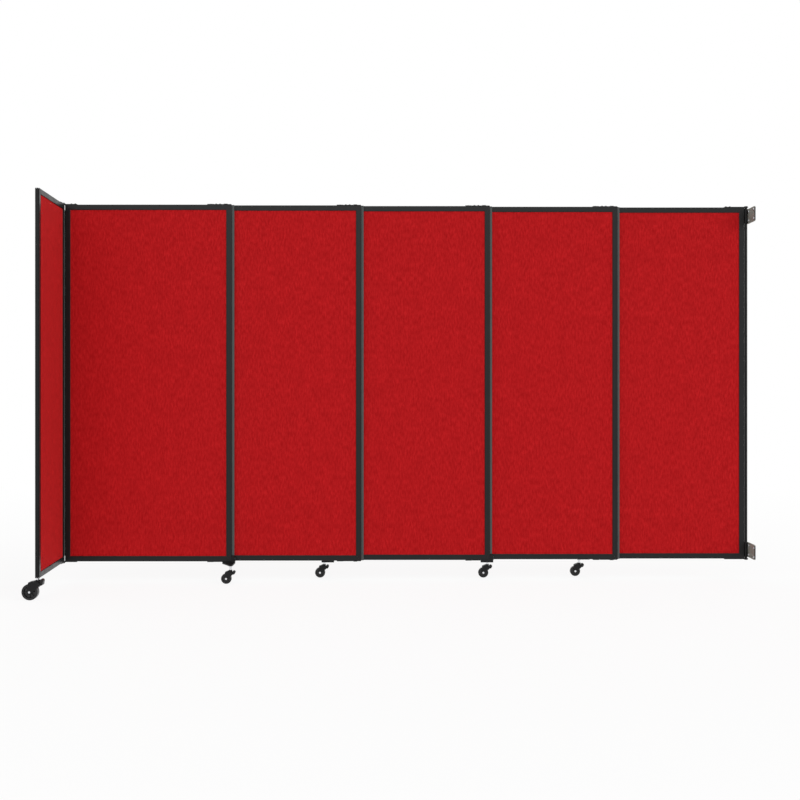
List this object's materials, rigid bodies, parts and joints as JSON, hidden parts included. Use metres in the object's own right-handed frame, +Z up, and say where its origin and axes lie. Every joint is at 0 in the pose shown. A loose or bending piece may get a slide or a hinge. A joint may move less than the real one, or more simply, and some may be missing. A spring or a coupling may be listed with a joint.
{
  "type": "sliding partition",
  "caption": "Wall-hinged telescoping room divider: overlapping fabric panels in black metal frames slide behind one another on swivel casters, with a hinged end panel.",
  "frame": {"origin": "middle of the footprint's bounding box, on the floor", "axes": "+X along the partition towards the wall, -Y to the front where the end panel points, +Z up"},
  "size_m": [3.4156, 0.6522, 1.8477],
  "materials": {
    "frame": "satin black powder coat over an extrusion",
    "hardware": "satin black powder coat over steel",
    "key": "bare die casting",
    "fabric_board": "woven red fabric over a light core",
    "guide": "black nylon",
    "seal": "matt dark grey",
    "hinge_seal": "matt black",
    "wall_plate": "satin grey powder coat over steel",
    "wheel": "black nylon with a slight sheen",
    "lever": "moulded black plastic",
    "chrome": "bright plated steel"
  },
  "bodies": {
    "wall_mount": {"wall_plates": "wall_plate", "wall_hinge_rod": "hardware"},
    "panel_5": {"panel_5_frame": "frame", "panel_5_corner_keys": "key", "panel_5_board": "fabric_board", "panel_5_guides": "guide", "panel_5_outrigger": "hardware", "panel_5_hinge_straps": "hardware", "panel_5_hinge_seal": "hinge_seal"},
    "panel_4": {"panel_4_frame": "frame", "panel_4_corner_keys": "key", "panel_4_board": "fabric_board", "panel_4_edge_seal": "seal", "panel_4_guides": "guide"},
    "panel_3": {"panel_3_frame": "frame", "panel_3_corner_keys": "key", "panel_3_board": "fabric_board", "panel_3_edge_seal": "seal", "panel_3_guides": "guide", "panel_3_outriggers": "hardware"},
    "panel_2": {"panel_2_frame": "frame", "panel_2_corner_keys": "key", "panel_2_board": "fabric_board", "panel_2_edge_seal": "seal", "panel_2_guides": "guide"},
    "panel_1": {"panel_1_frame": "frame", "panel_1_corner_keys": "key", "panel_1_board": "fabric_board", "panel_1_edge_seal": "seal", "panel_1_guides": "guide", "panel_1_outrigger": "hardware", "panel_1_hinge_straps": "hardware", "panel_1_hinge_seal": "hinge_seal", "end_hinge_rod": "hardware"},
    "end_panel": {"end_panel_frame": "frame", "end_panel_corner_keys": "key", "end_panel_board": "fabric_board", "end_panel_hinge_seal": "hinge_seal", "end_panel_hinge_straps": "hardware"},
    "panel_1_caster": {"panel_1_caster_fork": "hardware", "panel_1_caster_pins": "chrome"},
    "panel_1_caster_wheel_body": {"panel_1_caster_wheel": "wheel"},
    "panel_1_caster_brake": {"panel_1_caster_brake_lever": "lever"},
    "panel_3_left_caster": {"panel_3_left_caster_fork": "hardware", "panel_3_left_caster_pins": "chrome"},
    "panel_3_left_caster_wheel_body": {"panel_3_left_caster_wheel": "wheel"},
    "panel_3_left_caster_brake": {"panel_3_left_caster_brake_lever": "lever"},
    "panel_3_right_caster": {"panel_3_right_caster_fork": "hardware", "panel_3_right_caster_pins": "chrome"},
    "panel_3_right_caster_wheel_body": {"panel_3_right_caster_wheel": "wheel"},
    "panel_3_right_caster_brake": {"panel_3_right_caster_brake_lever": "lever"},
    "panel_5_caster": {"panel_5_caster_fork": "hardware", "panel_5_caster_pins": "chrome"},
    "panel_5_caster_wheel_body": {"panel_5_caster_wheel": "wheel"},
    "panel_5_caster_brake": {"panel_5_caster_brake_lever": "lever"},
    "end_panel_caster": {"end_panel_caster_fork": "hardware", "end_panel_caster_pins": "chrome"},
    "end_panel_caster_wheel_body": {"end_panel_caster_wheel": "wheel"},
    "end_panel_caster_brake": {"end_panel_caster_brake_lever": "lever"}
  },
  "joints": [
    {"name": "wall_hinge", "type": "hinge", "parent": "wall_mount", "child": "panel_5", "pos_m": [1.69476, 0.24711, 0.968], "axis": [0, 0, 1], "range_deg": [-80, 60]},
    {"name": "panel_4_slide", "type": "slide", "parent": "panel_5", "child": "panel_4", "axis": [1, 0, 0], "range_m": [0, 0.535]},
    {"name": "panel_3_slide", "type": "slide", "parent": "panel_4", "child": "panel_3", "axis": [1, 0, 0], "range_m": [0, 0.5435]},
    {"name": "panel_2_slide", "type": "slide", "parent": "panel_3", "child": "panel_2", "axis": [1, 0, 0], "range_m": [0, 0.5435]},
    {"name": "panel_1_slide", "type": "slide", "parent": "panel_2", "child": "panel_1", "axis": [1, 0, 0], "range_m": [0, 0.5435]},
    {"name": "end_panel_hinge", "type": "hinge", "parent": "panel_1", "child": "end_panel", "pos_m": [-1.66684, 0.15911, 0.968], "axis": [0, 0, -1], "range_deg": [-10, 184]},
    {"name": "panel_1_swivel", "type": "hinge", "parent": "panel_1", "child": "panel_1_caster", "pos_m": [-0.83924, 0.09411, 0.09], "axis": [0, 0, 1], "continuous": true},
    {"name": "panel_1_wheel_spin", "type": "hinge", "parent": "panel_1_caster", "child": "panel_1_caster_wheel_body", "pos_m": [-0.85924, 0.09411, 0.025], "axis": [0, 1, 0], "continuous": true},
    {"name": "panel_1_brake_press", "type": "hinge", "parent": "panel_1_caster", "child": "panel_1_caster_brake", "pos_m": [-0.83147, 0.09411, 0.0483], "axis": [0, 1, 0], "range_deg": [0, 22]},
    {"name": "panel_3_left_swivel", "type": "hinge", "parent": "panel_3", "child": "panel_3_left_caster", "pos_m": [-0.39924, 0.26811, 0.09], "axis": [0, 0, 1], "continuous": true},
    {"name": "panel_3_left_wheel_spin", "type": "hinge", "parent": "panel_3_left_caster", "child": "panel_3_left_caster_wheel_body", "pos_m": [-0.41924, 0.26811, 0.025], "axis": [0, 1, 0], "continuous": true},
    {"name": "panel_3_left_brake_press", "type": "hinge", "parent": "panel_3_left_caster", "child": "panel_3_left_caster_brake", "pos_m": [-0.39147, 0.26811, 0.0483], "axis": [0, 1, 0], "range_deg": [0, 22]},
    {"name": "panel_3_right_swivel", "type": "hinge", "parent": "panel_3", "child": "panel_3_right_caster", "pos_m": [0.41276, 0.26811, 0.09], "axis": [0, 0, 1], "continuous": true},
    {"name": "panel_3_right_wheel_spin", "type": "hinge", "parent": "panel_3_right_caster", "child": "panel_3_right_caster_wheel_body", "pos_m": [0.39276, 0.26811, 0.025], "axis": [0, 1, 0], "continuous": true},
    {"name": "panel_3_right_brake_press", "type": "hinge", "parent": "panel_3_right_caster", "child": "panel_3_right_caster_brake", "pos_m": [0.42053, 0.26811, 0.0483], "axis": [0, 1, 0], "range_deg": [0, 22]},
    {"name": "panel_5_swivel", "type": "hinge", "parent": "panel_5", "child": "panel_5_caster", "pos_m": [0.87676, 0.31211, 0.09], "axis": [0, 0, 1], "continuous": true},
    {"name": "panel_5_wheel_spin", "type": "hinge", "parent": "panel_5_caster", "child": "panel_5_caster_wheel_body", "pos_m": [0.85676, 0.31211, 0.025], "axis": [0, 1, 0], "continuous": true},
    {"name": "panel_5_brake_press", "type": "hinge", "parent": "panel_5_caster", "child": "panel_5_caster_brake", "pos_m": [0.88453, 0.31211, 0.0483], "axis": [0, 1, 0], "range_deg": [0, 22]},
    {"name": "end_panel_swivel", "type": "hinge", "parent": "end_panel", "child": "end_panel_caster", "pos_m": [-1.63826, -0.30811, 0.09], "axis": [0, 0, 1], "continuous": true},
    {"name": "end_panel_wheel_spin", "type": "hinge", "parent": "end_panel_caster", "child": "end_panel_caster_wheel_body", "pos_m": [-1.67126, -0.30811, 0.0365], "axis": [0, 1, 0], "continuous": true},
    {"name": "end_panel_brake_press", "type": "hinge", "parent": "end_panel_caster", "child": "end_panel_caster_brake", "pos_m": [-1.63072, -0.30811, 0.07052], "axis": [0, 1, 0], "range_deg": [0, 22]}
  ]
}
